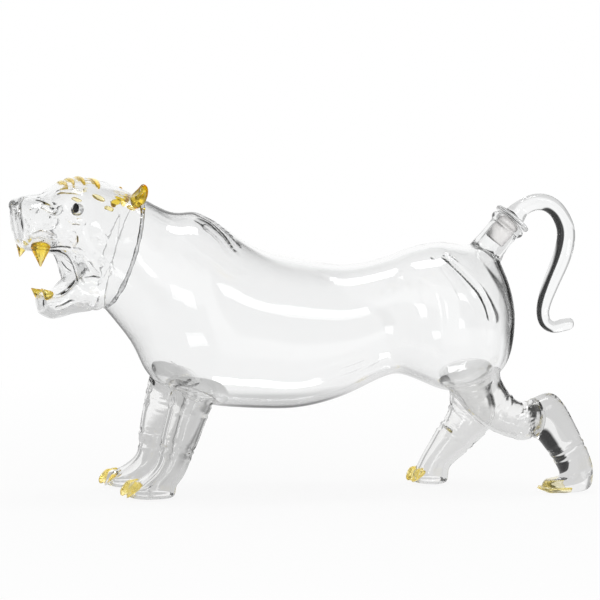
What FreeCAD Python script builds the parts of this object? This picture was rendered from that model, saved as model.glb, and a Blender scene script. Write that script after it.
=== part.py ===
import FreeCAD, Part
import Sketcher
import math
import os

# A hand-blown glass liquor decanter in the shape of a striding tiger.
# The hollow torso, head, legs and spout open into one another, so the liquor runs through all of them.
# The ground stopper in the spout ends in a bent rod, which is the tiger's tail and the grip.
# Frame: +Z up, -X is the way the tiger faces, -Y is its left side, origin on the ground below the middle.
# Lengths are in millimetres, angles in degrees.

SIZES = (
    # Torso, from the neck ring to the foot of the spout
    ("torso_length", 212.0),
    ("torso_width", 90.0),
    ("withers_height", 154.0),
    ("belly_height", 46.0),
    ("glass_wall", 2.2),
    ("neck_ring_diameter", 63.0),
    ("neck_ring_angle", 17.0),
    ("weld_bead_diameter", 2.6),
    # Head, measured from the centre of the neck ring
    ("head_length", 59.0),
    ("head_width", 66.0),
    ("head_height", 77.0),
    ("head_angle", 14.0),
    ("head_wall", 2.0),
    ("ear_height", 16.0),
    ("ear_width", 11.0),
    ("ear_thickness", 6.0),
    ("ear_angle", 18.0),
    ("eye_diameter", 7.4),
    ("pupil_diameter", 3.8),
    ("upper_fang_length", 16.0),
    ("upper_fang_diameter", 10.0),
    ("lower_fang_length", 8.0),
    ("lower_fang_angle", 40.0),
    ("lower_fang_diameter", 6.4),
    ("stripe_width", 3.4),
    ("stripe_length", 17.0),
    ("stripe_thickness", 4.0),
    # Legs and paws
    ("leg_wall", 2.2),
    ("sole_thickness", 3.0),
    ("front_leg_diameter", 20.4),
    ("front_leg_reach", 27.5),
    ("front_track", 50.0),
    ("front_stagger", 11.0),
    ("hind_leg_diameter", 22.0),
    ("hind_left_reach", 49.0),
    ("hind_right_reach", 17.6),
    ("hind_track", 40.0),
    ("paw_length", 26.0),
    ("hind_right_paw_length", 20.0),
    ("paw_width", 20.0),
    ("claw_length", 7.6),
    ("claw_width", 4.6),
    ("claw_height", 5.6),
    # Spout, along its own axis
    ("spout_angle", 40.0),
    ("spout_length", 21.0),
    ("spout_root", 14.0),
    ("spout_diameter", 17.0),
    ("rim_diameter", 21.0),
    ("rim_height", 5.0),
    ("mouth_diameter", 13.0),
    # Stopper and tail
    ("plug_length", 15.0),
    ("plug_clearance", 0.06),
    ("collar_diameter", 22.0),
    ("collar_thickness", 3.0),
    ("collar_gap", 0.3),
    ("tail_root_diameter", 9.4),
    ("tail_diameter", 7.6),
    ("tail_root_run", 3.0),
    ("tail_arch_radius", 15.0),
    ("tail_arch_angle", 158.0),
    ("tail_run", 41.0),
    ("tail_curl_radius", 6.6),
    ("tail_curl_angle", 116.0),
    ("tail_tip_run", 8.0),
    ("tail_tip_diameter", 6.4),
)

doc = FreeCAD.newDocument("tiger_decanter")
sheet = doc.addObject("Spreadsheet::Sheet", "sizes")
for row, (alias, value) in enumerate(SIZES, 1):
    sheet.set(f"A{row}", alias)
    sheet.set(f"B{row}", str(value))
    sheet.setAlias(f"B{row}", alias)
doc.recompute()


def size(alias):
    return float(sheet.get(alias))


Vector = FreeCAD.Vector
LEFT = Vector(0, -1, 0)
UP = Vector(0, 0, 1)
SIDEWAYS = Vector(0, 1, 0)
OVAL_POINTS = 12        # control points of each oval section
subparts = []


# Shared helpers

def subpart(item, label):
    item.Label = label
    subparts.append(item)


def shape_item(name, shape):
    item = doc.addObject("Part::Feature", name)
    item.Shape = shape
    return item


def primitive(kind, name, sizes, placement):
    # A primitive whose sizes are bound to cells of the sheet
    item = doc.addObject(kind, name)
    for prop, expression in sizes.items():
        item.setExpression(prop, expression)
    item.Placement = placement
    return item


def group(name, items):
    item = doc.addObject("Part::Compound", name)
    item.Links = items
    return item


def fused(name, items):
    item = doc.addObject("Part::MultiFuse", name)
    item.Shapes = items
    return item


def trimmed(name, base, tools):
    # The base less its neighbours, so that their faces meet
    item = doc.addObject("Part::Cut", f"{name}_trimmed")
    item.Base = base
    item.Tool = tools[0] if len(tools) == 1 else fused(f"{name}_neighbours", tools)
    return item


def oval(top, bottom, half_width, across):
    # Control points of a closed cubic curve, which runs inside them by a fixed share of its radius
    step = 2 * math.pi / OVAL_POINTS
    swell_share = 3 / (2 + math.cos(step))
    centre = (top + bottom) * 0.5
    rise = (top - bottom) * (0.5 * swell_share)
    aside = across * (half_width * swell_share)
    return [centre + rise * math.cos(step * i) + aside * math.sin(step * i) for i in range(OVAL_POINTS)]


def skin(ovals, inset):
    # A smooth solid through oval sections, each given as (top, bottom, half width, across) and drawn in by
    # the inset. A rail runs along each point of the ovals, and the rails carry one closed surface.
    rings = []
    for top, bottom, half_width, across in ovals:
        inward = (bottom - top).normalize() * inset
        rings.append(oval(top + inward, bottom - inward, half_width - inset, across))
    stations = [0.0]
    for ring, following in zip(rings, rings[1:]):
        steps = [(after - before).Length for before, after in zip(ring, following)]
        stations.append(stations[-1] + sum(steps))
    stations = [station / stations[-1] for station in stations]
    rails = []
    for i in range(OVAL_POINTS):
        rail = Part.BSplineCurve()
        rail.interpolate(Points=[ring[i] for ring in rings], Parameters=stations)
        rails.append(rail)
    surface = Part.BSplineSurface()
    surface.buildFromPolesMultsKnots(
        [rail.getPoles() for rail in rails],
        [1] * (OVAL_POINTS + 1), rails[0].getMultiplicities(),
        list(range(OVAL_POINTS + 1)), rails[0].getKnots(),
        True, False, 3, 3,
    )
    side = surface.toShape()
    caps = [Part.Face(Part.Wire(edge)) for edge in side.Edges if edge.isClosed()]
    solid = Part.Solid(Part.Shell([side] + caps))
    solid.fix(0, 0, 0)
    return solid


# Torso: ovals between a point on the back line and a point on the chest or belly line.
# Each row: back x and z, belly x and z, half width. x shares are of the torso length from the neck ring,
# z shares run from the belly (0) to the withers (1), width shares are of the torso's half width.
TORSO_SHARES = (
    (0.140, 0.995, 0.035, 0.340, 0.78),
    (0.206, 1.000, 0.080, 0.165, 0.90),
    (0.276, 0.925, 0.185, 0.045, 1.00),
    (0.362, 0.815, 0.330, 0.003, 0.97),
    (0.472, 0.755, 0.460, -0.002, 0.89),
    (0.590, 0.730, 0.590, 0.060, 0.79),
    (0.690, 0.765, 0.710, 0.170, 0.73),
    (0.752, 0.815, 0.776, 0.140, 0.79),
    (0.828, 0.846, 0.858, 0.080, 0.89),
    (0.866, 0.838, 0.938, 0.098, 0.88),
    (0.890, 0.830, 1.010, 0.205, 0.80),
    (0.906, 0.826, 1.034, 0.420, 0.63),
    (0.916, 0.830, 1.022, 0.600, 0.40),
    (0.927, 0.832, 0.992, 0.758, 0.20),
)
TORSO_AHEAD_SHARE = 0.472     # of the torso's length, ahead of the origin
NECK_RING_SHARES = (0.008, 0.801)     # x and z of the neck ring's centre


def torso_point(x_share, z_share, y=0.0):
    low, high = size("belly_height"), size("withers_height")
    x = (x_share - TORSO_AHEAD_SHARE) * size("torso_length")
    return Vector(x, y, low + z_share * (high - low))


neck_centre = torso_point(*NECK_RING_SHARES)


def head_axes():
    turn = math.radians(size("head_angle"))
    forward = Vector(-math.cos(turn), -math.sin(turn), 0)
    return forward, UP.cross(forward)


def neck_oval():
    # The ring leans back and turns with the head
    forward, left = head_axes()
    lean = math.radians(size("neck_ring_angle"))
    radius = size("neck_ring_diameter") / 2
    rise = (UP * math.cos(lean) - forward * math.sin(lean)) * radius
    return neck_centre + rise, neck_centre - rise, radius, left


def torso_ovals():
    ovals = [neck_oval()]
    for back_x, back_z, belly_x, belly_z, width_share in TORSO_SHARES:
        half_width = width_share * size("torso_width") / 2
        ovals.append((torso_point(back_x, back_z), torso_point(belly_x, belly_z), half_width, LEFT))
    return ovals


torso_skin = shape_item("torso_skin", skin(torso_ovals(), 0.0))
torso_hollow = shape_item("torso_hollow", skin(torso_ovals(), size("glass_wall")))


# Legs: ovals across a path from inside the torso down to a flat sole on the ground.
# Each row: reach x, height z, half depth, half width. x shares are of the leg's reach, z shares of the
# height of the hip, depth and width shares are of the leg's radius.
FRONT_LEFT_SHARES = (
    (-0.10, 1.00, 1.24, 1.04),
    (0.06, 0.80, 1.20, 1.04),
    (0.26, 0.62, 1.09, 1.00),
    (0.52, 0.38, 0.98, 0.93),
    (0.74, 0.20, 0.84, 0.87),
)
FRONT_RIGHT_SHARES = (
    (-0.07, 1.00, 1.20, 1.04),
    (0.13, 0.80, 1.19, 1.04),
    (0.30, 0.62, 1.05, 1.00),
    (0.45, 0.38, 0.95, 0.92),
    (0.60, 0.20, 0.86, 0.87),
)
HIND_LEFT_SHARES = (
    (-0.10, 1.00, 1.18, 1.00),
    (0.02, 0.76, 1.22, 1.06),
    (0.26, 0.575, 1.04, 1.02),
    (0.54, 0.500, 0.97, 0.97),
    (0.79, 0.545, 1.22, 0.96),
    (0.98, 0.380, 0.95, 0.88),
    (1.11, 0.235, 0.87, 0.84),
    (1.155, 0.145, 0.88, 0.85),
)
HIND_RIGHT_SHARES = (
    (-0.10, 1.00, 1.10, 1.00),
    (-0.30, 0.76, 1.14, 1.05),
    (-0.32, 0.50, 1.22, 1.03),
    (0.16, 0.355, 1.02, 0.96),
    (0.72, 0.21, 0.80, 0.86),
)
PAW_BULGE_SHARE = 0.42        # height of the paw's widest oval, of the paw's width
PAW_SOLE_SHARE = 0.86         # the flat sole, of the paw's length and width
FRONT_HIP_SHARES = (0.186, 0.300)     # x and z of the mean front hip in the torso
HIND_HIP_SHARES = (0.915, 0.300)      # x and z of the hind hips in the torso
HIP_SPREAD_SHARE = 0.44               # spacing of a pair of hips, of the torso's width


def leg_ovals(shares, radius, hip, sole, paw_length, inset):
    path = []
    for x_share, z_share, depth_share, width_share in shares:
        y = hip.y + (sole.y - hip.y) * (1 - z_share)
        centre = Vector(hip.x + (sole.x - hip.x) * x_share, y, hip.z * z_share)
        path.append((centre, radius * depth_share, radius * width_share))
    ovals = []
    for i, (centre, half_depth, half_width) in enumerate(path):
        before, after = path[max(i - 1, 0)][0], path[min(i + 1, len(path) - 1)][0]
        forward = (after - before).cross(SIDEWAYS).normalize() * half_depth
        ovals.append((centre - forward, centre + forward, half_width, LEFT))
    return ovals + paw_ovals(sole, paw_length, inset)


def paw_ovals(sole, paw_length, inset):
    sole_height = size("sole_thickness") if inset else 0.0
    ovals = []
    for share, height in ((1.0, PAW_BULGE_SHARE * size("paw_width")), (PAW_SOLE_SHARE, sole_height)):
        centre = sole + UP * height
        reach = Vector(share * paw_length / 2, 0, 0)
        ovals.append((centre - reach, centre + reach, share * size("paw_width") / 2, LEFT))
    return ovals


def leg_plans():
    # Name, share table, radius, hip, sole centre and paw length of each leg
    hip_y = HIP_SPREAD_SHARE * size("torso_width") / 2
    plans = []
    for side, sign, shares in (("left", -1, FRONT_LEFT_SHARES), ("right", 1, FRONT_RIGHT_SHARES)):
        hip = torso_point(*FRONT_HIP_SHARES, sign * hip_y)
        hip.x -= sign * size("front_stagger") / 2
        sole = Vector(hip.x - size("front_leg_reach"), sign * size("front_track") / 2, 0)
        radius = size("front_leg_diameter") / 2
        plans.append((f"front_{side}", shares, radius, hip, sole, size("paw_length")))
    for side, sign, way, shares, paw_length in (
        ("left", -1, 1, HIND_LEFT_SHARES, size("paw_length")),
        ("right", 1, -1, HIND_RIGHT_SHARES, size("hind_right_paw_length")),
    ):
        hip = torso_point(*HIND_HIP_SHARES, sign * hip_y)
        sole = Vector(hip.x + way * size(f"hind_{side}_reach"), sign * size("hind_track") / 2, 0)
        plans.append((f"hind_{side}", shares, size("hind_leg_diameter") / 2, hip, sole, paw_length))
    return plans


leg_skins, leg_hollows, paws = {}, {}, {}
for name, shares, radius, hip, sole, paw_length in leg_plans():
    outer = skin(leg_ovals(shares, radius, hip, sole, paw_length, 0.0), 0.0)
    inner = skin(leg_ovals(shares, radius, hip, sole, paw_length, size("leg_wall")), size("leg_wall"))
    leg_skins[name] = shape_item(f"{name}_leg_skin", outer)
    leg_hollows[name] = shape_item(f"{name}_leg_hollow", inner)
    paws[name] = (sole, paw_length)
    leg = trimmed(f"{name}_leg", leg_skins[name], [torso_skin, leg_hollows[name]])
    subpart(leg, f"{name}_leg")

body = trimmed("body_bulb", torso_skin, [torso_hollow] + list(leg_hollows.values()))
subpart(body, "body_bulb")


# Claws: three drops of amber glass over the toes of each paw.
CLAW_SPREAD_SHARES = (-0.60, 0.0, 0.60)      # of the paw's half width
CLAW_REACH_SHARES = (0.72, 0.94, 0.72)       # of the paw's half length

for name, (sole, paw_length) in paws.items():
    drops = []
    for spread, reach in zip(CLAW_SPREAD_SHARES, CLAW_REACH_SHARES):
        toe = Vector(-reach * paw_length / 2, spread * size("paw_width") / 2, size("claw_height") / 2)
        drop_sizes = {
            "Radius1": "sizes.claw_height / 2",
            "Radius2": "sizes.claw_length / 2",
            "Radius3": "sizes.claw_width / 2",
        }
        placement = FreeCAD.Placement(sole + toe, FreeCAD.Rotation())
        drops.append(primitive("Part::Ellipsoid", f"{name}_claw", drop_sizes, placement))
    claws = trimmed(f"{name}_claws", group(f"{name}_claw_drops", drops), [leg_skins[name]])
    subpart(claws, f"{name}_claws")


# Head: upper ovals run from the neck ring over the cranium to the nose, lower ovals form the jaw.
# Each row: top u and w, bottom u and w, half width. u shares are of the head's length forward of the neck
# ring, w shares of its height above the ring's centre, width shares of its half width.
CRANIUM_SHARES = (
    (0.100, 0.480, 0.260, -0.420, 0.98),
    (0.405, 0.525, 0.460, -0.320, 1.00),
    (0.620, 0.468, 0.570, -0.060, 0.84),
    (0.760, 0.404, 0.770, -0.005, 0.66),
    (0.930, 0.388, 0.905, 0.012, 0.60),
    (1.010, 0.330, 0.955, 0.062, 0.40),
)
JAW_SHARES = (
    (0.250, -0.200, 0.280, -0.420, 0.66),
    (0.460, -0.165, 0.450, -0.435, 0.54),
    (0.655, -0.268, 0.650, -0.470, 0.46),
    (0.778, -0.280, 0.768, -0.430, 0.32),
)


def head_point(u_share, w_share, v_share=0.0):
    # v runs to the tiger's left
    forward, left = head_axes()
    ahead = forward * (u_share * size("head_length"))
    aside = left * (v_share * size("head_width") / 2)
    return neck_centre + ahead + aside + UP * (w_share * size("head_height"))


def head_ovals(shares, inset):
    # The last oval of a hollow stops a wall short of the nose or chin
    forward, left = head_axes()
    ovals = []
    for top_u, top_w, bottom_u, bottom_w, width_share in shares:
        half_width = width_share * size("head_width") / 2
        ovals.append((head_point(top_u, top_w), head_point(bottom_u, bottom_w), half_width, left))
    top, bottom, half_width, across = ovals[-1]
    ovals[-1] = (top - forward * inset, bottom - forward * inset, half_width, across)
    return ovals


def head_solid(inset):
    cranium = skin([neck_oval()] + head_ovals(CRANIUM_SHARES, inset), inset)
    jaw = skin(head_ovals(JAW_SHARES, inset), inset)
    return cranium.fuse(jaw)


head_skin = shape_item("head_skin", head_solid(0.0))
head_hollow = shape_item("head_hollow", head_solid(size("head_wall")))
subpart(trimmed("head_shell", head_skin, [head_hollow]), "head_shell")


# Weld bead: the ring of melted glass round the joint of head and torso.
ring_sizes = {"Radius1": "sizes.neck_ring_diameter / 2", "Radius2": "sizes.weld_bead_diameter / 2"}
ring_lean = FreeCAD.Rotation(SIDEWAYS, 90 + size("neck_ring_angle"))
ring_facing = FreeCAD.Rotation(UP, size("head_angle")).multiply(ring_lean)
ring = primitive("Part::Torus", "weld_ring", ring_sizes, FreeCAD.Placement(neck_centre, ring_facing))
subpart(trimmed("neck_weld_bead", ring, [torso_skin, head_skin]), "neck_weld_bead")


# Features of amber and black glass on the head. Places are (u, w, v) shares of the head's sizes.
EAR_PLACE_SHARES = (-0.100, 0.396, 0.520)
EYE_PLACE_SHARES = (0.530, 0.310, 0.840)
PUPIL_PLACE_SHARES = (0.555, 0.312, 0.925)
FANG_PLACE_SHARES = {"upper": (0.855, 0.108, 0.550), "lower": (0.710, -0.315, 0.270)}
CROWN_PLACE_SHARES = ((0.250, 0.505, 0.0), (0.400, 0.522, 0.0), (0.510, 0.508, 0.0), (0.600, 0.478, 0.0))
TEMPLE_PLACE_SHARES = ((0.353, 0.370, 0.720), (0.030, 0.300, 0.660))
FANG_POINT_SHARE = 0.12       # of the fang's diameter at its root
TEMPLE_LENGTH_SHARE = 0.65    # of the stripe's length
FANG_WAYS = {
    "upper": FreeCAD.Rotation(SIDEWAYS, 180),
    "lower": FreeCAD.Rotation(SIDEWAYS, -size("lower_fang_angle")),
}


def on_head(place_shares, side_sign, rotation):
    u_share, w_share, v_share = place_shares
    turned = FreeCAD.Rotation(UP, size("head_angle")).multiply(rotation)
    return FreeCAD.Placement(head_point(u_share, w_share, v_share * side_sign), turned)


def stripe_drop(name, upright, sideways, placement):
    stripe_sizes = {"Radius1": upright, "Radius2": "sizes.stripe_width / 2", "Radius3": sideways}
    return primitive("Part::Ellipsoid", name, stripe_sizes, placement)


for side, sign in (("left", 1), ("right", -1)):
    ear_sizes = {
        "Radius1": "sizes.ear_height / 2",
        "Radius2": "sizes.ear_thickness / 2",
        "Radius3": "sizes.ear_width / 2",
    }
    ear_pose = on_head(EAR_PLACE_SHARES, sign, FreeCAD.Rotation(Vector(1, 0, 0), sign * size("ear_angle")))
    ear = primitive("Part::Ellipsoid", f"{side}_ear_drop", ear_sizes, ear_pose)
    subpart(trimmed(f"{side}_ear", ear, [head_skin, torso_skin, ring]), f"{side}_ear")

    eye_sizes = {"Radius": "sizes.eye_diameter / 2"}
    eye = primitive("Part::Sphere", f"{side}_eye_drop", eye_sizes,
                    on_head(EYE_PLACE_SHARES, sign, FreeCAD.Rotation()))
    pupil_sizes = {"Radius": "sizes.pupil_diameter / 2"}
    pupil = primitive("Part::Sphere", f"{side}_pupil_drop", pupil_sizes,
                      on_head(PUPIL_PLACE_SHARES, sign, FreeCAD.Rotation()))
    subpart(trimmed(f"{side}_eye", eye, [head_skin, pupil]), f"{side}_eye")
    subpart(trimmed(f"{side}_pupil", pupil, [head_skin]), f"{side}_pupil")

    dabs = []
    for place_shares in TEMPLE_PLACE_SHARES:
        pose = on_head(place_shares, sign, FreeCAD.Rotation())
        upright = f"sizes.stripe_length / 2 * {TEMPLE_LENGTH_SHARE}"
        dabs.append(stripe_drop(f"{side}_temple_dab", upright, "sizes.stripe_thickness / 2", pose))
    temple = trimmed(f"{side}_temple_stripes", group(f"{side}_temple_dabs", dabs), [head_skin])
    subpart(temple, f"{side}_temple_stripes")

    for jaw, place_shares in FANG_PLACE_SHARES.items():
        fang_sizes = {
            "Radius1": f"sizes.{jaw}_fang_diameter / 2",
            "Radius2": f"sizes.{jaw}_fang_diameter / 2 * {FANG_POINT_SHARE}",
            "Height": f"sizes.{jaw}_fang_length",
        }
        fang = primitive("Part::Cone", f"{jaw}_{side}_fang_cone", fang_sizes,
                         on_head(place_shares, sign, FANG_WAYS[jaw]))
        subpart(trimmed(f"{jaw}_{side}_fang", fang, [head_skin]), f"{jaw}_{side}_fang")

bars = []
for place_shares in CROWN_PLACE_SHARES:
    pose = on_head(place_shares, 1, FreeCAD.Rotation())
    bars.append(stripe_drop("crown_bar", "sizes.stripe_thickness / 2", "sizes.stripe_length / 2", pose))
subpart(trimmed("crown_stripes", group("crown_bars", bars), [head_skin]), "crown_stripes")


# Spout, stopper plug and collar: turned shapes round one axis, which leans back from upright.
SPOUT_FOOT_SHARES = (0.960, 0.800)    # x and z in the torso where the spout's axis leaves it
SOCKET_TAPER_SHARE = 0.1              # diameter that the ground socket loses along its length
RIM_SHOULDER_SHARE = 0.3              # of the rim's height, bevelled above and below


def spout_axis():
    lean = math.radians(size("spout_angle"))
    return Vector(math.sin(lean), 0, math.cos(lean))


def on_spout(height):
    # Height along the axis above the spout's rim
    rim = torso_point(*SPOUT_FOOT_SHARES) + spout_axis() * size("spout_length")
    return FreeCAD.Placement(rim + spout_axis() * height, FreeCAD.Rotation(SIDEWAYS, size("spout_angle")))


def turned_body(name, corners, placement):
    # A body turned about its own Z axis from the corners of its half section, each a pair of expressions
    # for the radius and the height
    item = doc.addObject("PartDesign::Body", name)
    sketch = item.newObject("Sketcher::SketchObject", f"{name}_half_section")
    plane = [feature for feature in item.Origin.OriginFeatures if feature.Role == "XZ_Plane"][0]
    sketch.AttachmentSupport = (plane, "")
    sketch.MapMode = "FlatFace"
    values = []
    for radius, height in corners:
        values.append(Vector(float(sheet.evalExpression(radius)), float(sheet.evalExpression(height)), 0))
    count = len(values)
    for i in range(count):
        sketch.addGeometry(Part.LineSegment(values[i], values[(i + 1) % count]), False)
    for i in range(count):
        sketch.addConstraint(Sketcher.Constraint("Coincident", i, 2, (i + 1) % count, 1))
    for i, (radius, height) in enumerate(corners):
        for kind, expression, value in (("DistanceX", radius, values[i].x), ("DistanceY", height, values[i].y)):
            index = sketch.addConstraint(Sketcher.Constraint(kind, -1, 1, i, 1, value))
            label = f"{kind}_{i}"
            sketch.renameConstraint(index, label)
            sketch.setExpression(f"Constraints.{label}", expression)
    turned = item.newObject("PartDesign::Revolution", f"{name}_turned")
    turned.Profile = sketch
    turned.ReferenceAxis = (sketch, ["V_Axis"])
    turned.Angle = 360
    item.Placement = placement
    return item


mouth_radius = "sizes.mouth_diameter / 2"
socket_foot_radius = f"({mouth_radius} - sizes.plug_length / 2 * {SOCKET_TAPER_SHARE})"
spout_height = "(sizes.spout_root + sizes.spout_length)"
tube_radius, rim_radius = "sizes.spout_diameter / 2", "sizes.rim_diameter / 2"
shoulder = f"sizes.rim_height * {RIM_SHOULDER_SHARE}"
spout_tube = turned_body("spout_tube", (
    (socket_foot_radius, "0"),
    (tube_radius, "0"),
    (tube_radius, f"{spout_height} - sizes.rim_height"),
    (rim_radius, f"{spout_height} - sizes.rim_height + {shoulder}"),
    (rim_radius, f"{spout_height} - {shoulder}"),
    (tube_radius, spout_height),
    (mouth_radius, spout_height),
    (socket_foot_radius, f"{spout_height} - sizes.plug_length"),
), on_spout(-size("spout_root") - size("spout_length")))
subpart(trimmed("spout", spout_tube, [torso_skin]), "spout")

# The plug keeps a clearance from the socket's wall, and its top stands the collar's gap above the rim.
plug_top_radius = f"{mouth_radius} - sizes.plug_clearance + sizes.collar_gap / 2 * {SOCKET_TAPER_SHARE}"
plug_foot_radius = f"{plug_top_radius} - sizes.plug_length / 2 * {SOCKET_TAPER_SHARE}"
plug = turned_body("plug", (
    ("0", "0"),
    (plug_foot_radius, "0"),
    (plug_top_radius, "sizes.plug_length"),
    ("0", "sizes.plug_length"),
), on_spout(size("collar_gap") - size("plug_length")))
subpart(plug, "stopper_plug")

collar_radius, collar_height = "sizes.collar_diameter / 2", "sizes.collar_thickness"
collar = turned_body("collar", (
    ("0", "0"),
    (f"{collar_radius} - {collar_height} * {RIM_SHOULDER_SHARE}", "0"),
    (collar_radius, f"{collar_height} * {RIM_SHOULDER_SHARE}"),
    (collar_radius, f"{collar_height} * (1 - {RIM_SHOULDER_SHARE})"),
    (f"{collar_radius} - {collar_height} * {RIM_SHOULDER_SHARE}", collar_height),
    ("0", collar_height),
), on_spout(size("collar_gap")))
subpart(collar, "stopper_collar")


# Tail: a tapering rod along straight runs and tangent arcs in the tiger's mid plane.
# It leaves the collar along the spout's axis, arches over backwards, runs down and curls outwards.

def turned_heading(heading, turn):
    return FreeCAD.Rotation(SIDEWAYS, turn).multVec(heading)


def straight(start, heading, length):
    end = start + heading * length
    return Part.LineSegment(start, end).toShape(), end


def bend(start, heading, radius, turn):
    # A positive turn goes clockwise as seen from the tiger's left
    centre = start + turned_heading(heading, math.copysign(90, turn)) * radius
    spoke = start - centre
    middle = centre + turned_heading(spoke, turn / 2)
    end = centre + turned_heading(spoke, turn)
    return Part.Arc(start, middle, end).toShape(), end, turned_heading(heading, turn)


def rod(name, edges, start, heading, start_size, end, end_heading, end_size):
    spine = shape_item(f"{name}_line", Part.Wire(edges))
    circles = []
    for point, way, alias in ((start, heading, start_size), (end, end_heading, end_size)):
        facing = FreeCAD.Placement(point, FreeCAD.Rotation(UP, way))
        circles.append(primitive("Part::Circle", f"{name}_round", {"Radius": f"sizes.{alias} / 2"}, facing))
    sweep = doc.addObject("Part::Sweep", f"{name}_rod")
    sweep.Sections = circles
    sweep.Spine = (spine, [f"Edge{i + 1}" for i in range(len(edges))])
    sweep.Solid = True
    sweep.Frenet = False
    return sweep


root = on_spout(size("collar_gap") + size("collar_thickness")).Base
root_edge, root_end = straight(root, spout_axis(), size("tail_root_run"))
arch_edge, arch_end, down = bend(root_end, spout_axis(), size("tail_arch_radius"), size("tail_arch_angle"))
run_edge, run_end = straight(arch_end, down, size("tail_run"))
tail = rod("tail", [root_edge, arch_edge, run_edge], root, spout_axis(), "tail_root_diameter",
           run_end, down, "tail_diameter")
subpart(tail, "tail")

curl_edge, curl_end, outward = bend(run_end, down, size("tail_curl_radius"), -size("tail_curl_angle"))
tip_edge, tip_end = straight(curl_end, outward, size("tail_tip_run"))
tip_rod = rod("tail_tip", [curl_edge, tip_edge], run_end, down, "tail_diameter",
              tip_end, outward, "tail_tip_diameter")
tip_bead = primitive("Part::Sphere", "tail_tip_bead", {"Radius": "sizes.tail_tip_diameter / 2"},
                     FreeCAD.Placement(tip_end, FreeCAD.Rotation()))
subpart(fused("tail_tip_piece", [tip_rod, tip_bead]), "tail_tip")


# Check every object and write each piece

doc.recompute()
for item in doc.Objects:
    if "Invalid" in item.State or "Error" in item.State:
        raise RuntimeError(f"{item.Label} failed: {item.State}")
for item in subparts:
    if item.Shape.isNull() or not item.Shape.isValid() or not item.Shape.Solids:
        raise RuntimeError(f"{item.Label} has no valid solid")

os.makedirs("parts", exist_ok=True)
for item in subparts:
    item.Shape.exportStep(f"parts/{item.Label}.step")
    box = item.Shape.optimalBoundingBox()
    print(f"{item.Label}: {len(item.Shape.Solids)} solids, {item.Shape.Volume / 1000:.2f} ml of glass,"
          f" x {box.XMin:.1f} {box.XMax:.1f} y {box.YMin:.1f} {box.YMax:.1f} z {box.ZMin:.1f} {box.ZMax:.1f}")
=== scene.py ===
import math

import bmesh
import bpy
from mathutils import Matrix, Vector, noise
from mathutils.bvhtree import BVHTree


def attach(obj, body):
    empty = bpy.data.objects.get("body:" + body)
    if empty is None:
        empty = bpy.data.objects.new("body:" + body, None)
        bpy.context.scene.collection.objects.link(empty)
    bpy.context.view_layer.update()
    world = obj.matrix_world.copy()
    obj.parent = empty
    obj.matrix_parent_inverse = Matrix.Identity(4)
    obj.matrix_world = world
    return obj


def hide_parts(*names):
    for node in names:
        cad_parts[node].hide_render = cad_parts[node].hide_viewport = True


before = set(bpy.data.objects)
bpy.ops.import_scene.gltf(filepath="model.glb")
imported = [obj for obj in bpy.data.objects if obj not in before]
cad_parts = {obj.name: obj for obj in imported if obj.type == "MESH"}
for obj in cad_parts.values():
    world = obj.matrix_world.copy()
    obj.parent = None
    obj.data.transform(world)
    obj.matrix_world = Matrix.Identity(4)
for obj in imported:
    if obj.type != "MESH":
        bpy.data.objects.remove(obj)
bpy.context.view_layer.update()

# A blown glass decanter: a striding tiger whose tail is the grip of a ground stopper.
# The tiger faces -X, its left side is towards -Y and the camera, and Z is up. Lengths are in metres.

mm = 0.001
up = Vector((0, 0, 1))
sideways = Vector((0, -1, 0))     # the tiger's left
print("frame loaded,", len(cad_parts), "nodes")


# Camera

cameraPlan = {
    "azimuth": -6.0,
    "elevation": 4.0,
    "distance": 1.2,
    "aim": Vector((0, 0, 82.8 * mm)),
    "aimPixel": (300, 341),       # where the aim lies in the picture
    "framePixels": 600,
    "metresPerPixel": 0.55 * mm,  # at the aim
    "sensor": 36.0,
}


def cameraAxes():
    a = math.radians(cameraPlan["azimuth"])
    e = math.radians(cameraPlan["elevation"])
    back = Vector((math.sin(a) * math.cos(e), -math.cos(a) * math.cos(e), math.sin(e)))
    right = up.cross(back).normalized()
    return right, back.cross(right), back


def makeCamera():
    plan = cameraPlan
    right, rise, back = cameraAxes()
    data = bpy.data.cameras.new("photoCamera")
    data.sensor_width = plan["sensor"]
    data.lens = plan["sensor"] * plan["distance"] / plan["metresPerPixel"] / plan["framePixels"]
    data.shift_y = (plan["aimPixel"][1] - plan["framePixels"] / 2) / plan["framePixels"]
    camera = bpy.data.objects.new("photoCamera", data)
    bpy.context.scene.collection.objects.link(camera)
    camera.location = plan["aim"] + back * plan["distance"]
    camera.rotation_euler = Matrix((right, rise, back)).transposed().to_euler()
    bpy.context.scene.camera = camera


def pixelRay(pixel):
    # The line of sight through a pixel of the picture
    right, rise, back = cameraAxes()
    perPixel = cameraPlan["metresPerPixel"] / cameraPlan["distance"]
    across = (pixel[0] - cameraPlan["aimPixel"][0]) * perPixel
    over = (cameraPlan["aimPixel"][1] - pixel[1]) * perPixel
    eye = cameraPlan["aim"] + back * cameraPlan["distance"]
    return eye, (right * across + rise * over - back).normalized()


makeCamera()
print("camera set")


# Mesh helpers

meshPlan = {
    "tiny": 0.001 * mm,           # points closer than this become one
    "dropSegments": 32,
    "dabSegments": 24,
    "creaseReach": 3,             # a crease is felt up to this many widths from its line
    "leastWall": 0.02,            # least share of a wall's thickness
}


def fromColumns(*columns):
    # The matrix with these three axes and this place
    made = Matrix.Identity(4)
    for i, column in enumerate(columns):
        made.col[i][:3] = column
    return made


def ovalMatrix(top, bottom, halfWidth, across):
    # Takes the unit circle to the oval between two points
    rise = (top - bottom) / 2
    side = across.normalized() * halfWidth
    return fromColumns(side, rise, side.cross(rise).normalized(), (top + bottom) / 2)


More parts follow.
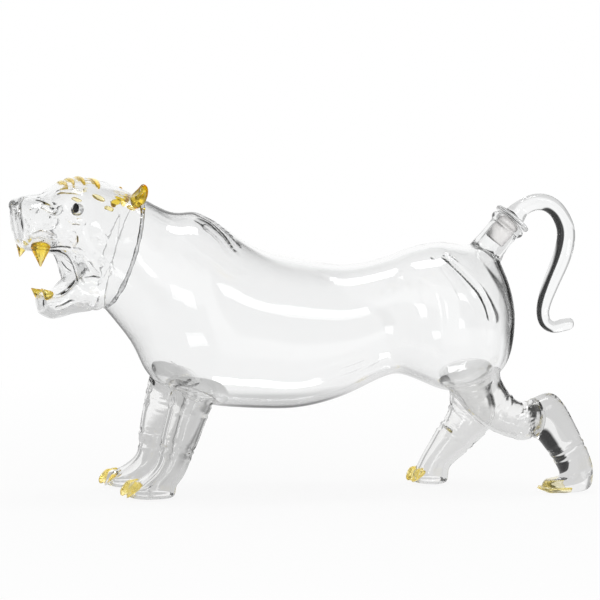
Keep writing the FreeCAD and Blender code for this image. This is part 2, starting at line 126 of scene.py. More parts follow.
def throughOvals(ovals, steps):
    # More ovals on a smooth run through the given ones
    knots = [0.0]
    for before, after in zip(ovals, ovals[1:]):
        knots.append(knots[-1] + (after[0] - before[0]).length + (after[1] - before[1]).length)
    last = len(ovals) - 1
    slopes = []
    for i in range(last + 1):
        a, b = max(i - 1, 0), min(i + 1, last)
        span = knots[b] - knots[a]
        slopes.append([(after - before) / span for before, after in zip(ovals[a], ovals[b])])
    fine = []
    for i in range(last):
        span = knots[i + 1] - knots[i]
        for step in range(steps):
            t = step / steps
            p, m = 2 * t ** 3 - 3 * t * t + 1, (t ** 3 - 2 * t * t + t) * span
            q, n = 3 * t * t - 2 * t ** 3, (t ** 3 - t * t) * span
            fine.append(tuple(p * a + m * b + q * c + n * d for a, b, c, d
                              in zip(ovals[i], slopes[i], ovals[i + 1], slopes[i + 1])))
    return fine + [ovals[-1]]


def ovalTube(bm, ovals, segments, closeStart=False, closeEnd=False):
    # A circle that is drawn out from oval to oval; returns the ring of vertices at each oval
    matrix = ovalMatrix(*ovals[0])
    ring = bmesh.ops.create_circle(bm, segments=segments, radius=1, matrix=matrix)["verts"]
    edges = list({edge for vert in ring for edge in vert.link_edges})
    rings, firstEdges = [ring], edges
    for oval in ovals[1:]:
        grown = bmesh.ops.extrude_edge_only(bm, edges=edges)["geom"]
        ring = [item for item in grown if isinstance(item, bmesh.types.BMVert)]
        inRing = set(ring)
        grownEdges = [item for item in grown if isinstance(item, bmesh.types.BMEdge)]
        edges = [edge for edge in grownEdges if inRing.issuperset(edge.verts)]
        following = ovalMatrix(*oval)
        bmesh.ops.transform(bm, matrix=following @ matrix.inverted(), verts=ring)
        matrix = following
        rings.append(ring)
    for wanted, loop in ((closeStart, firstEdges), (closeEnd, edges)):
        if wanted:
            bmesh.ops.edgeloop_fill(bm, edges=loop)
    bmesh.ops.recalc_face_normals(bm, faces=bm.faces[:])
    return rings


def spinRound(bm, segments):
    # Spins all that the mesh holds once round the Z axis
    bmesh.ops.spin(bm, geom=bm.verts[:] + bm.edges[:], axis=up, cent=(0, 0, 0), dvec=(0, 0, 0),
                   angle=2 * math.pi, steps=segments, use_merge=True, use_duplicate=False)
    bmesh.ops.remove_doubles(bm, verts=bm.verts[:], dist=meshPlan["tiny"])


def lathe(bm, profile, segments, matrix):
    # A turned shape from (radius, height) pairs, spun round its own Z axis
    corners = [bm.verts.new((radius, 0, height)) for radius, height in profile]
    for pair in zip(corners, corners[1:]):
        bm.edges.new(pair)
    spinRound(bm, segments)
    bmesh.ops.recalc_face_normals(bm, faces=bm.faces[:])
    bmesh.ops.transform(bm, matrix=matrix, verts=bm.verts[:])


def ball(bm, segments, radius):
    made = bmesh.ops.create_uvsphere(bm, u_segments=segments, v_segments=segments // 2, radius=radius)
    return made["verts"]


def drop(bm, size, matrix):
    # A rounded drop of glass of that length, width and height
    made = ball(bm, meshPlan["dropSegments"], 0.5)
    bmesh.ops.scale(bm, vec=size, verts=made)
    bmesh.ops.transform(bm, matrix=matrix, verts=made)


def dab(bm, skin, centre, along, across, size, lift=0.0):
    # A flat drop that hugs a surface
    made = ball(bm, meshPlan["dabSegments"], 1)
    for vert in made:
        flat = centre + along * (vert.co.x * size[0] / 2) + across * (vert.co.y * size[1] / 2)
        hit, normal = skin.find_nearest(flat)[:2]
        vert.co = hit + normal * (vert.co.z * size[2] / 2 + lift)
    bm.normal_update()
    bmesh.ops.recalc_face_normals(bm, faces=list({face for vert in made for face in vert.link_faces}))


def swell(bm, centre, radius, height, way=None):
    # Raises the surface round a point, or dents it where the height is below zero
    bm.normal_update()
    for vert in bm.verts:
        share = (vert.co - centre).length / radius
        if share < 1:
            vert.co += (way or vert.normal) * (height * (1 - share * share) ** 2)


def distanceToLine(point, line):
    nearest = math.inf
    for start, end in zip(line, line[1:]):
        run = end - start
        along = max(0.0, min(1.0, (point - start).dot(run) / run.length_squared))
        nearest = min(nearest, (point - start - run * along).length)
    return nearest


def crease(bm, line, width, depth):
    # Presses a soft groove along a chain of points
    bm.normal_update()
    for vert in bm.verts:
        away = distanceToLine(vert.co, line) / width
        if away < meshPlan["creaseReach"]:
            vert.co -= vert.normal * (depth * math.exp(-away * away))


def waver(bm, cell, height, seed):
    # The slow unevenness of a wall that was blown by hand
    bm.normal_update()
    for vert in bm.verts:
        vert.co += vert.normal * (height * noise.noise(vert.co / cell + seed))


def stayAboveFloor(bm):
    for vert in bm.verts:
        vert.co.z = max(vert.co.z, 0)


def onSurface(tree, pixels):
    # Points where the lines of sight meet the near side of a surface
    hits = [tree.ray_cast(*pixelRay(pixel))[0] for pixel in pixels]
    return [hit for hit in hits if hit]


def makePiece(name, bm):
    mesh = bpy.data.meshes.new(name)
    bm.to_mesh(mesh)
    bm.free()
    piece = bpy.data.objects.new(name, mesh)
    bpy.context.scene.collection.objects.link(piece)
    return piece


def settle(piece):
    # The mesh with its modifiers worked in, as a bmesh
    evaluated = piece.evaluated_get(bpy.context.evaluated_depsgraph_get())
    bm = bmesh.new()
    bm.from_mesh(evaluated.to_mesh())
    evaluated.to_mesh_clear()
    piece.modifiers.clear()
    return bm


def putBack(piece, bm):
    bm.to_mesh(piece.data)
    bm.free()


def subdivide(piece, levels):
    modifier = piece.modifiers.new("smoothSkin", "SUBSURF")
    modifier.levels = modifier.render_levels = levels


def wall(piece, thickness, shareAt):
    # A wall inwards from the skin; shareAt gives the share of the thickness at a point
    bm = bmesh.new()
    bm.from_mesh(piece.data)
    for edge in bm.edges:
        edge.smooth = not edge.is_boundary      # a rim stays crisp
    putBack(piece, bm)
    group = piece.vertex_groups.new(name="wallShare")
    for vert in piece.data.vertices:
        share = max(meshPlan["leastWall"], min(1.0, shareAt(vert.co)))
        group.add([vert.index], share, "REPLACE")
    modifier = piece.modifiers.new("glassWall", "SOLIDIFY")
    modifier.thickness = thickness
    modifier.vertex_group = group.name
    modifier.offset = -1
    modifier.use_even_offset = True
    modifier.use_rim = True


def finishPiece(piece, body, glass, *nodes):
    for face in piece.data.polygons:
        face.use_smooth = True
    piece.data.materials.append(glasses[glass])
    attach(piece, body)
    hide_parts(*nodes)


def addPiece(name, bm, levels, body, glass, *nodes):
    # A solid piece, smoothed and finished
    piece = makePiece(name, bm)
    subdivide(piece, levels)
    finishPiece(piece, body, glass, *nodes)


# Materials

class Wire:
    # A shader socket that can stand in sums
    def __init__(self, socket):
        self.socket = socket
        self.tree = socket.id_data

    @classmethod
    def node(cls, tree, kind, settings=None, inputs=None, output=0):
        made = tree.nodes.new(kind)
        for key, value in (settings or {}).items():
            setattr(made, key, value)
        for key, value in (inputs or {}).items():
            if isinstance(value, Wire):
                tree.links.new(value.socket, made.inputs[key])
            else:
                made.inputs[key].default_value = value
        return cls(made.outputs[output]) if made.outputs else None

    def maths(self, operation, first, second):
        return Wire.node(self.tree, "ShaderNodeMath", {"operation": operation}, {0: first, 1: second})

    def __add__(self, other):
        return self.maths("ADD", self, other)

    def __radd__(self, other):
        return self.maths("ADD", other, self)

    def __sub__(self, other):
        return self.maths("SUBTRACT", self, other)

    def __rsub__(self, other):
        return self.maths("SUBTRACT", other, self)

    def __mul__(self, other):
        return self.maths("MULTIPLY", self, other)

    def __rmul__(self, other):
        return self.maths("MULTIPLY", other, self)

    def __truediv__(self, other):
        return self.maths("DIVIDE", self, other)

    def __rtruediv__(self, other):
        return self.maths("DIVIDE", other, self)


def emptyTree(owner):
    # The node tree of a material or a world, with nothing in it yet
    owner.use_nodes = True
    owner.node_tree.nodes.clear()
    return owner.node_tree


# What a glass doesn't say is as in the base. Patches and ripples are counted per metre.
glassBase = {
    "slot": "clear_glass", "light": (1, 1, 1, 1), "patchDetail": 2.0, "rippleDetail": 1.5, "roughness": 0.0,
    "roughnessVaries": 0.2, "ior": 1.47, "transmission": 1.0, "tint": (0.2, 0.22, 0.22, 1),
}
glassPlan = {
    "clearGlass": {
        "deep": (0.985, 0.99, 0.99, 1), "patch": 40.0, "ripple": 26.0, "rippleHeight": 0.10 * mm,
        "density": 4.0,
    },
    "headGlass": {
        "deep": (0.98, 0.985, 0.985, 1), "patch": 90.0, "ripple": 170.0, "rippleHeight": 0.08 * mm,
        "density": 8.0,
    },
    "legGlass": {
        "deep": (0.97, 0.97, 0.965, 1), "patch": 60.0, "ripple": 90.0, "rippleHeight": 0.12 * mm,
        "density": 8.0, "tint": (0.2, 0.2, 0.19, 1),
    },
    "weldGlass": {
        "deep": (0.42, 0.425, 0.43, 1), "patch": 170.0, "ripple": 210.0, "rippleHeight": 1.2 * mm,
        "density": 30.0, "tint": (0.2, 0.21, 0.21, 1),
    },
    # The amber glasses carry a painted glow: a little emission that makes them read gold, though nothing in
    # them is a lamp
    "amberGlass": {
        "slot": "amber_glass", "light": (1, 0.98, 0.84, 1), "deep": (1.0, 0.88, 0.42, 1), "patch": 260.0,
        "ripple": 240.0, "rippleHeight": 0.05 * mm, "ior": 1.5, "density": 260.0,
        "tint": (0.99, 0.89, 0.08, 1), "paintedGlow": (0.03, 0.021, 0.0, 1),
    },
    "dabGlass": {
        "slot": "amber_glass", "light": (1, 0.98, 0.86, 1), "deep": (1.0, 0.92, 0.58, 1), "patch": 260.0,
        "ripple": 240.0, "rippleHeight": 0.03 * mm, "ior": 1.5, "density": 170.0,
        "tint": (0.985, 0.875, 0.12, 1), "paintedGlow": (0.06, 0.045, 0.008, 1),
    },
    "clawGlass": {
        "slot": "amber_glass", "light": (1, 0.99, 0.93, 1), "deep": (1.0, 0.95, 0.74, 1), "patch": 200.0,
        "ripple": 240.0, "rippleHeight": 0.03 * mm, "ior": 1.5, "density": 100.0,
        "tint": (0.985, 0.875, 0.12, 1), "paintedGlow": (0.055, 0.045, 0.01, 1),
    },
    "blackGlass": {
        "slot": "black_glass", "light": (0.012, 0.012, 0.014, 1), "deep": (0.004, 0.004, 0.004, 1),
        "patch": 300.0, "ripple": 300.0, "rippleHeight": 0.02 * mm, "roughness": 0.04, "transmission": 0.0,
        "density": 0.0,
    },
    "groundGlass": {
        "slot": "ground_glass", "light": (1.0, 0.985, 0.975, 1), "deep": (0.95, 0.93, 0.92, 1),
        "patch": 300.0, "ripple": 2600.0, "rippleHeight": 0.02 * mm, "roughness": 0.38, "ior": 1.25,
        "density": 1.0, "tint": (0.6, 0.4, 0.35, 1),
    },
}


def glassFinish(name):
    return {**glassBase, **glassPlan[name]}


def glassMaterial(name):
    plan = glassFinish(name)
    material = bpy.data.materials.new(name)
    tree = emptyTree(material)
    place = Wire.node(tree, "ShaderNodeTexCoord", output="Object")
    textures = []
    for kind in ("patch", "ripple"):
        inputs = {"Vector": place, "Scale": plan[kind], "Detail": plan[kind + "Detail"]}
        textures.append(Wire.node(tree, "ShaderNodeTexNoise", {}, inputs))
    patches, ripples = textures
    colour = Wire.node(tree, "ShaderNodeMix", {"data_type": "RGBA"},
                       {0: patches, 6: plan["light"], 7: plan["deep"]}, 2)
    bumped = Wire.node(tree, "ShaderNodeBump", {},
                       {"Height": ripples, "Strength": 1.0, "Distance": plan["rippleHeight"]})
    roughness = plan["roughness"]
    if roughness:
        roughness = roughness + patches * (roughness * plan["roughnessVaries"])
    sockets = {
        "Base Color": colour,
        "Roughness": roughness,
        "IOR": plan["ior"],
        "Transmission Weight": plan["transmission"],
        "Normal": bumped,
    }
    # Painted glow: the amber gives off light of its own, which is painted light and not a lamp
    if "paintedGlow" in plan:
        sockets.update({"Emission Color": plan["paintedGlow"], "Emission Strength": 1.0})
    outputs = {"Surface": Wire.node(tree, "ShaderNodeBsdfPrincipled", {}, sockets)}
    if plan["density"]:
        outputs["Volume"] = Wire.node(tree, "ShaderNodeVolumeAbsorption", {},
                                      {"Color": plan["tint"], "Density": plan["density"]})
    Wire.node(tree, "ShaderNodeOutputMaterial", {}, outputs)
    return material


glasses = {name: glassMaterial(name) for name in glassPlan}
print("glass mixed")


# Torso: ovals between a point on the back line and one on the chest and belly line.
# Rows: back x and z, belly x and z, half width. x shares run from the neck ring along the torso's length,
# z shares from the belly line to the withers, width shares are of the half width.

torsoPlan = {
    "length": 212 * mm,
    "halfWidth": 45 * mm,
    "withers": 154 * mm,
    "belly": 46 * mm,
    "aheadShare": 0.472,
    "neckShares": (0.008, 0.801),
    "neckRadius": 31.5 * mm,
    "neckLean": 17.0,
    "wall": 2.2 * mm,
    "taper": 34 * mm,             # the wall thins out towards the weld over this distance
    # Share of the wall at the belly, and the heights between which it grows
    "thinBelly": (0.5, 55 * mm, 100 * mm),
    "waver": (30 * mm, 0.5 * mm, Vector((3.1, 0.4, 7.7))),     # cell, height and seed
    "segments": 36,
    "steps": 3,
    "shares": (
        (0.140, 0.995, 0.035, 0.340, 0.78), (0.206, 1.000, 0.080, 0.165, 0.90),
        (0.276, 0.925, 0.185, 0.045, 1.00), (0.362, 0.815, 0.330, 0.003, 0.97),
        (0.472, 0.755, 0.460, -0.002, 0.89), (0.590, 0.730, 0.590, 0.060, 0.79),
        (0.690, 0.765, 0.710, 0.170, 0.73), (0.752, 0.815, 0.776, 0.140, 0.79),
        (0.828, 0.846, 0.858, 0.080, 0.89), (0.866, 0.838, 0.938, 0.098, 0.88),
        (0.890, 0.830, 1.010, 0.205, 0.80), (0.906, 0.826, 1.034, 0.420, 0.63),
        (0.916, 0.830, 1.022, 0.600, 0.40), (0.927, 0.832, 0.992, 0.758, 0.20),
    ),
    # Creases in the glass: points as pixels of the picture, then width and depth in millimetres
    "creases": (
        (((446, 255), (458, 265), (469, 276), (482, 291), (489, 304), (494, 317)), 1.4, 1.3),
        (((450, 266), (464, 282), (477, 300), (492, 318)), 2.6, 0.8),
        (((403, 273), (425, 285), (438, 303), (440, 327)), 3.0, 0.6),
        (((203, 216), (214, 222), (228, 235), (237, 248)), 1.6, 0.9),
        (((208, 226), (222, 238), (232, 252)), 1.2, 0.4),
        (((144, 211), (156, 214), (170, 222)), 1.3, 0.3),
        (((322, 273), (336, 283), (350, 300)), 1.2, 0.5),
        (((438, 297), (441, 312), (442, 330)), 1.2, 0.5),
        (((327, 377), (350, 370), (377, 360)), 1.0, 0.45),
        (((270, 372), (280, 376), (291, 375)), 1.0, 0.5),
        (((257, 377), (282, 381), (307, 381)), 1.0, 0.35),
        (((160, 332), (166, 344), (174, 358)), 1.0, 0.5),
        (((166, 330), (172, 341), (178, 355)), 1.0, 0.5),
        (((181, 258), (184, 270), (187, 282)), 1.0, 0.4),
    ),
}


def torsoPoint(xShare, zShare, y=0.0):
    plan = torsoPlan
    return Vector(((xShare - plan["aheadShare"]) * plan["length"], y,
                   plan["belly"] + zShare * (plan["withers"] - plan["belly"])))


# Head: rows of top u and w, bottom u and w, and half width, as shares of its length, height and half width

headPlan = {
    "length": 59 * mm,
    "halfWidth": 33 * mm,
    "height": 77 * mm,
    "turn": 14.0,
    "wall": 2.0 * mm,
    "nose": (1.000, 0.330, 0.0),
    "noseWall": 4.2 * mm,
    "noseRadius": 8 * mm,
    "taper": 12 * mm,             # the wall thins out towards the weld over this distance
    "weldGap": 0.6 * mm,
    "segments": 32,
    "cranium": (
        (0.100, 0.480, 0.260, -0.420, 0.98), (0.405, 0.525, 0.460, -0.320, 1.00),
        (0.620, 0.468, 0.570, -0.060, 0.84), (0.760, 0.404, 0.770, -0.005, 0.66),
        (0.930, 0.388, 0.905, 0.012, 0.60), (1.010, 0.330, 0.955, 0.062, 0.40),
    ),
    "jaw": (
        (0.250, -0.200, 0.280, -0.420, 0.66), (0.490, -0.105, 0.450, -0.435, 0.56),
        (0.640, -0.255, 0.650, -0.470, 0.46), (0.778, -0.280, 0.768, -0.430, 0.32),
    ),
    "steps": 4,
    "behind": 8 * mm,
    "voxel": 0.75 * mm,
    "smoothing": 5,
    "smoothShare": 0.5,
    "waver": (9 * mm, 0.35 * mm, Vector((1.7, 5.2, 0.9))),
}
neckCentre = torsoPoint(*torsoPlan["neckShares"])
turned = math.radians(headPlan["turn"])
forward = Vector((-math.cos(turned), -math.sin(turned), 0))
headLeft = up.cross(forward)


def headPoint(u, w, v=0.0):
    # Forward, up and to the tiger's left of the neck ring's centre, as shares of the head's sizes
    return (neckCentre + forward * (u * headPlan["length"]) + up * (w * headPlan["height"])
            + headLeft * (v * headPlan["halfWidth"]))


neckLean = math.radians(torsoPlan["neckLean"])
ringFacing = forward * math.cos(neckLean) + up * math.sin(neckLean)


def neckOval(radius):
    rise = (up * math.cos(neckLean) - forward * math.sin(neckLean)) * radius
    return neckCentre + rise, neckCentre - rise, radius, headLeft


def fromRing(point):
    # Distance from the plane of the neck ring
    return abs((point - neckCentre).dot(ringFacing))


def mirrored(points, onHead):
    # The same points on the other side of the head or torso
    normal, origin = (headLeft, neckCentre) if onHead else (sideways, Vector((0, 0, 0)))
    return [point - normal * (2 * (point - origin).dot(normal)) for point in points]


def pressLines(bm, rows, onHead):
    # Creases along lines of the picture, on both sides
    tree = BVHTree.FromBMesh(bm)
    for pixels, width, depth in rows:
        line = onSurface(tree, pixels)
        for points in (line, mirrored(line, onHead)):
            crease(bm, points, width * mm, depth * mm)


def torsoWall(point):
    # The share of the wall at a point: thin at the belly and towards the weld
    least, low, high = torsoPlan["thinBelly"]
    share = least + (1 - least) * max(0, min(1, (point.z - low) / (high - low)))
    return share * min(1, fromRing(point) / torsoPlan["taper"])


def makeTorso():
    plan = torsoPlan
    ovals = [neckOval(plan["neckRadius"])]
    for backX, backZ, bellyX, bellyZ, width in plan["shares"]:
        back, belly = torsoPoint(backX, backZ), torsoPoint(bellyX, bellyZ)
        ovals.append((back, belly, width * plan["halfWidth"], sideways))
    bm = bmesh.new()
    ovalTube(bm, throughOvals(ovals, plan["steps"]), plan["segments"])
    piece = makePiece("torso", bm)
    subdivide(piece, levels=2)
    bm = settle(piece)
    pressLines(bm, plan["creases"], onHead=False)
    waver(bm, *plan["waver"])
    skin = BVHTree.FromBMesh(bm)
    putBack(piece, bm)
    wall(piece, plan["wall"], torsoWall)
    finishPiece(piece, "vessel", "clearGlass", "body_bulb")
    return skin


torsoSkin = makeTorso()
print("torso blown")


# Face: pressed into a skull and an open jaw that are melted into one skin. Its lengths are in millimetres.

facePlan = {
    "mouth": ((0.545, -0.150), 19, -10),          # place, radius and depth of the open throat
    "swells": (                                              # place (u, w, v), radius, height
        ((0.500, 0.305, 0.840), 11, -2.0),         # eye socket
        ((0.560, 0.400, 0.560), 11, 1.6),          # brow
        ((0.800, 0.150, 0.560), 12, 1.8),          # whisker pad
        ((1.010, 0.330, 0.060), 6, 1.4),           # nose
        ((0.975, 0.300, 0.180), 4, -1.8),          # nostril
        ((0.250, -0.050, 0.960), 18, 1.6),         # cheek
        ((0.640, 0.250, 0.740), 8, -1.2),          # hollow beside the nose
    ),
    # Wrinkles: points as pixels of the picture, then width and depth
    "creases": (
        (((39, 198), (52, 202), (63, 208), (66, 213)), 1.1, 0.35),
        (((44, 205), (49, 208), (53, 210)), 1.0, 0.9),
        (((68, 217), (73, 220.5), (82, 221)), 1.0, 0.9),
        (((58, 191), (68, 190), (80, 192)), 1.0, 0.3),
        (((82, 223), (78, 231), (71, 240)), 1.2, 0.7),
        (((51, 250), (65, 250), (77, 251), (87, 255)), 1.0, 0.5),
        (((94, 238), (98, 236), (103, 236.5)), 1.0, 0.9),
        (((100, 241), (104, 240.5)), 1.0, 0.6),
        (((96, 256.5), (101, 260), (104, 264)), 1.1, 0.9),
        (((88, 265), (92, 271), (97, 276)), 1.0, 0.7),
        (((84, 281), (92, 280), (99, 281)), 1.0, 0.6),
        (((58, 310), (65, 308), (72, 304)), 1.0, 0.7),
        (((27, 220), (34, 226), (44, 229), (52, 226)), 1.0, 0.6),
        (((33, 237), (42, 234), (53, 238)), 1.0, 0.6),
        (((103, 262), (110, 268), (116, 276)), 1.0, 0.5),
        (((70, 247), (74, 241), (72, 235)), 1.1, 0.6),
    ),
}


def headWall(point):
    # The wall thins out towards the weld and is thick at the nose
    plan = headPlan
    near = max(0, 1 - (point - headPoint(*plan["nose"])).length / plan["noseRadius"])
    thick = plan["wall"] + (plan["noseWall"] - plan["wall"]) * near
    return thick * min(1, fromRing(point) / plan["taper"])


def makeHead():
    plan = headPlan
    bm = bmesh.new()
    ring = neckOval(torsoPlan["neckRadius"])
    behind = ringFacing * plan["behind"]
    neckOvals = [(ring[0] - behind, ring[1] - behind, ring[2], ring[3]), ring]
    for rows, ovals in ((plan["cranium"], neckOvals), (plan["jaw"], [])):
        for topU, topW, bottomU, bottomW, width in rows:
            top, bottom = headPoint(topU, topW), headPoint(bottomU, bottomW)
            ovals.append((top, bottom, width * plan["halfWidth"], headLeft))
        ovalTube(bm, throughOvals(ovals, plan["steps"]), plan["segments"], closeStart=True, closeEnd=True)
    piece = makePiece("head", bm)
    subdivide(piece, levels=1)
    melt = piece.modifiers.new("melt", "REMESH")
    melt.mode = "VOXEL"
    melt.voxel_size = plan["voxel"]
    bm = settle(piece)
    for i in range(plan["smoothing"]):
        bmesh.ops.smooth_vert(bm, verts=bm.verts[:], factor=plan["smoothShare"],
                              use_axis_x=True, use_axis_y=True, use_axis_z=True)
    (mouthU, mouthW), radius, depth = facePlan["mouth"]
    swell(bm, headPoint(mouthU, mouthW), radius * mm, depth * mm, forward)
    for (u, w, v), radius, height in facePlan["swells"]:
        for sign in (1, -1):
            swell(bm, headPoint(u, w, v * sign), radius * mm, height * mm)
    pressLines(bm, facePlan["creases"], onHead=True)
    waver(bm, *plan["waver"])
    cut = neckCentre + ringFacing * plan["weldGap"]
    bmesh.ops.bisect_plane(bm, geom=bm.verts[:] + bm.edges[:] + bm.faces[:], dist=meshPlan["tiny"],
                           plane_co=cut, plane_no=ringFacing, clear_inner=True)
    skin = BVHTree.FromBMesh(bm)
    putBack(piece, bm)
    wall(piece, plan["noseWall"], lambda point: headWall(point) / plan["noseWall"])
    finishPiece(piece, "vessel", "headGlass", "head_shell")
    return skin


headSkin = makeHead()
print("head pressed")


# Weld bead round the neck

beadPlan = {
    "radius": 1.2 * mm,
    "thin": 0.3,                  # share of the radius on the right side
    "growth": (0.5, 1.5),         # thin to full: the share in the middle, and its slope to the left
    "uneven": 0.6,
    "cell": 5 * mm,
    "segments": 120,
    "round": 12,
}


def makeWeldBead():
    plan = beadPlan
    ringRadius = torsoPlan["neckRadius"]
    bm = bmesh.new()
    upright = Matrix.Translation((ringRadius, 0, 0)) @ Matrix.Rotation(math.pi / 2, 4, "X")
    bmesh.ops.create_circle(bm, segments=plan["round"], radius=plan["radius"], matrix=upright)
    spinRound(bm, plan["segments"])
    facing = ovalMatrix(*neckOval(ringRadius)).to_3x3().normalized().to_4x4()
    bmesh.ops.transform(bm, matrix=Matrix.Translation(neckCentre) @ facing, verts=bm.verts[:])
    bmesh.ops.recalc_face_normals(bm, faces=bm.faces[:])
    middle, slope = plan["growth"]
    for vert in bm.verts:
        out = vert.co - neckCentre
        out = (out - ringFacing * out.dot(ringFacing)).normalized()
        core = neckCentre + out * ringRadius
        share = plan["thin"] + (1 - plan["thin"]) * max(0, min(1, middle + slope * out.dot(headLeft)))
        share *= 1 + plan["uneven"] * noise.noise(core / plan["cell"])
        vert.co = core + (vert.co - core) * share
    addPiece("weldBead", bm, 1, "vessel", "weldGlass", "neck_weld_bead")


makeWeldBead()
print("neck welded")


# Legs: tubes that flare onto the torso and end in paws with three toes.
# Rows: reach x, height z, half depth, half width, as shares of the reach, the hip's height and the radius.

legPlan = {
    "wall": 2.2 * mm,
    "segments": 28,
    "steps": 3,
    "hipShare": 0.300,
    "hipY": 19.8 * mm,
    "flares": (1.45, 1.12),       # spread of the two uppermost rings, which lie on and just under the torso
    "taper": 7 * mm,              # the wall thins out towards the torso over this distance
    "weldTop": 63 * mm,           # no weld line runs higher than this
    "weldGap": 2.5 * mm,
    "below": 40 * mm,
    "pawWidth": 20 * mm,
    "pawBulge": 0.34,
    # The paw's rings: shares of its size, of the bulge's height and of the heel's reach
    "pawRings": ((1.0, 1.0, 1.0), (0.98, 0.4, 0.8), (0.86, 0.0, 0.3)),
    "thinSole": (0.4, 2.5 * mm),  # share of the wall at the sole, and the height at which it is whole
    "toeSpread": (-0.60, 0.0, 0.60),
    "toeReach": (0.72, 0.94, 0.72),
    "toeSwell": (4 * mm, 5.5 * mm, 1.6 * mm, Vector((-0.9, 0, 0.2))),     # height, radius, rise and its way
    "gapSpread": (-0.3, 0.3),     # grooves between the toes
    "gapReach": 0.9,
    "gapLine": (Vector((0, 0, 6 * mm)), Vector((5 * mm, 0, 9 * mm))),
    "gapSize": (0.9 * mm, 1.2 * mm),      # width and depth
    "waver": (12 * mm, 0.35 * mm),        # cell and height
    "waverSeed": (1.3, 2.9),
    "bubbleEnd": 0.75,            # how far the end of the hollow is drawn out where a limb turns solid
    "solidBelow": 20 * mm,
    "ringWidth": 0.75 * mm,
    "ringDepth": 0.5 * mm,
    "ringWave": (1.6 * mm, 9 * mm),       # height and cell
    "ringReach": 1.5,             # share of the limb's half depth
    "ridge": (0.6, 2.0),          # share of the groove's depth, and place in widths
}
frontLeftRows = ((-0.10, 1.00, 1.24, 1.04), (0.06, 0.80, 1.20, 1.04), (0.26, 0.62, 1.09, 1.00),
                 (0.48, 0.38, 0.96, 0.93), (0.64, 0.20, 0.82, 0.87))
frontRightRows = ((-0.07, 1.00, 1.20, 1.04), (0.13, 0.80, 1.19, 1.04), (0.30, 0.62, 1.05, 1.00),
                  (0.45, 0.38, 0.95, 0.92), (0.56, 0.20, 0.84, 0.87))
hindLeftRows = ((-0.10, 1.00, 1.18, 1.00), (0.02, 0.76, 1.22, 1.06), (0.26, 0.575, 1.04, 1.02),
                (0.54, 0.500, 0.97, 0.97), (0.79, 0.545, 1.22, 0.96), (0.98, 0.380, 0.95, 0.88),
                (1.11, 0.235, 0.87, 0.84), (1.155, 0.145, 0.88, 0.85))
hindRightRows = ((-0.10, 1.00, 1.10, 1.00), (-0.30, 0.76, 1.14, 1.05), (-0.32, 0.50, 1.22, 1.03),
                 (0.16, 0.355, 1.02, 0.96), (0.72, 0.21, 0.80, 0.86))
# Rings are places along the rows where a pair of creases runs round the leg
legs = {
    "frontLeft": {"node": "front_left", "rows": frontLeftRows, "radius": 10.2 * mm, "hipX": -55.1 * mm,
                  "sole": (-82.6 * mm, -25 * mm), "paw": 26 * mm, "rings": (1.6, 2.05, 3.1, 3.35)},
    "frontRight": {"node": "front_right", "rows": frontRightRows, "radius": 10.2 * mm, "hipX": -66.1 * mm,
                   "sole": (-93.6 * mm, 25 * mm), "paw": 26 * mm, "rings": (1.75, 2.15, 3.0, 3.45)},
    "hindLeft": {"node": "hind_left", "rows": hindLeftRows, "radius": 11 * mm, "hipX": 93.9 * mm,
                 "sole": (142.9 * mm, -20 * mm), "paw": 27 * mm, "rings": (2.1, 2.9, 3.2, 5.35, 5.7),
                 "wall": 1.3 * mm, "solidFrom": 3.25, "heel": 3.5 * mm,
                 "clawSize": (27 * mm, 6.0 * mm, 4.0 * mm), "clawSlope": 7.0, "clawHeight": 2.6 * mm},
    "hindRight": {"node": "hind_right", "rows": hindRightRows, "radius": 11 * mm, "hipX": 93.9 * mm,
                  "sole": (76.3 * mm, 20 * mm), "paw": 20 * mm, "rings": (2.2, 2.85, 3.15)},
}


def legPath(leg):
    # Centre, half depth and half width at each row
    hip = torsoPoint(0, legPlan["hipShare"])
    soleX, soleY = leg["sole"]
    hipY = math.copysign(legPlan["hipY"], soleY)
    path = []
    for x, z, depth, width in leg["rows"]:
        centreX = leg["hipX"] + (soleX - leg["hipX"]) * x
        centreY = hipY + (soleY - hipY) * (1 - z)
        path.append((Vector((centreX, centreY, hip.z * z)), depth * leg["radius"], width * leg["radius"]))
    return path


def toePlace(leg, spread, reach, height):
    soleX, soleY = leg["sole"]
    return Vector((soleX - reach * leg["paw"] / 2, soleY + spread * legPlan["pawWidth"] / 2, height))


def legWall(point):
    # The wall thins out towards the torso and at the sole
    least, whole = legPlan["thinSole"]
    share = least + (1 - least) * min(1, point.z / whole)
    return share * min(1, torsoSkin.find_nearest(point)[3] / legPlan["taper"])


def fillBeyond(piece, path, place):
    # Draws the inside of the wall together, so that the limb is solid beyond that place along the rows
    upper, lower = path[int(place)][0], path[int(place) + 1][0]
    count = len(piece.data.vertices)
    bm = settle(piece)
    bm.verts.ensure_lookup_table()
    inner = bm.verts[count:]
    start = upper.lerp(lower, place % 1)
    end = upper.lerp(lower, place % 1 + legPlan["bubbleEnd"])
    for vert in inner:
        along = (vert.co.x - start.x) / (end.x - start.x)
        if along > 1 or along > 0 and vert.co.z < legPlan["solidBelow"]:
            vert.co = end
        elif along > 0:
            centre = start.lerp(end, along)
            vert.co = centre + (vert.co - centre) * math.sqrt(1 - along * along)
    bmesh.ops.remove_doubles(bm, verts=inner, dist=meshPlan["tiny"])
    putBack(piece, bm)


def flareOut(rings, path):
    # Spreads the two uppermost rings out onto the torso's skin
    plan = legPlan
    axis = (path[0][0] - path[1][0]).normalized()
    for vert, below in zip(rings[0], rings[1]):
        spread = below.co - path[1][0]
        spread -= axis * spread.dot(axis)
        for corner, flare, gap in zip((vert, below), plan["flares"], (0, plan["weldGap"])):
            start = path[1][0] + spread * flare - axis * plan["below"]
            hit, normal = torsoSkin.ray_cast(start, axis, 2 * plan["below"])[:2]
            if hit is None or hit.z > plan["weldTop"]:
                highest = start + axis * ((plan["weldTop"] - start.z) / axis.z)
                hit, normal = torsoSkin.find_nearest(highest)[:2]
            corner.co = hit + normal * gap


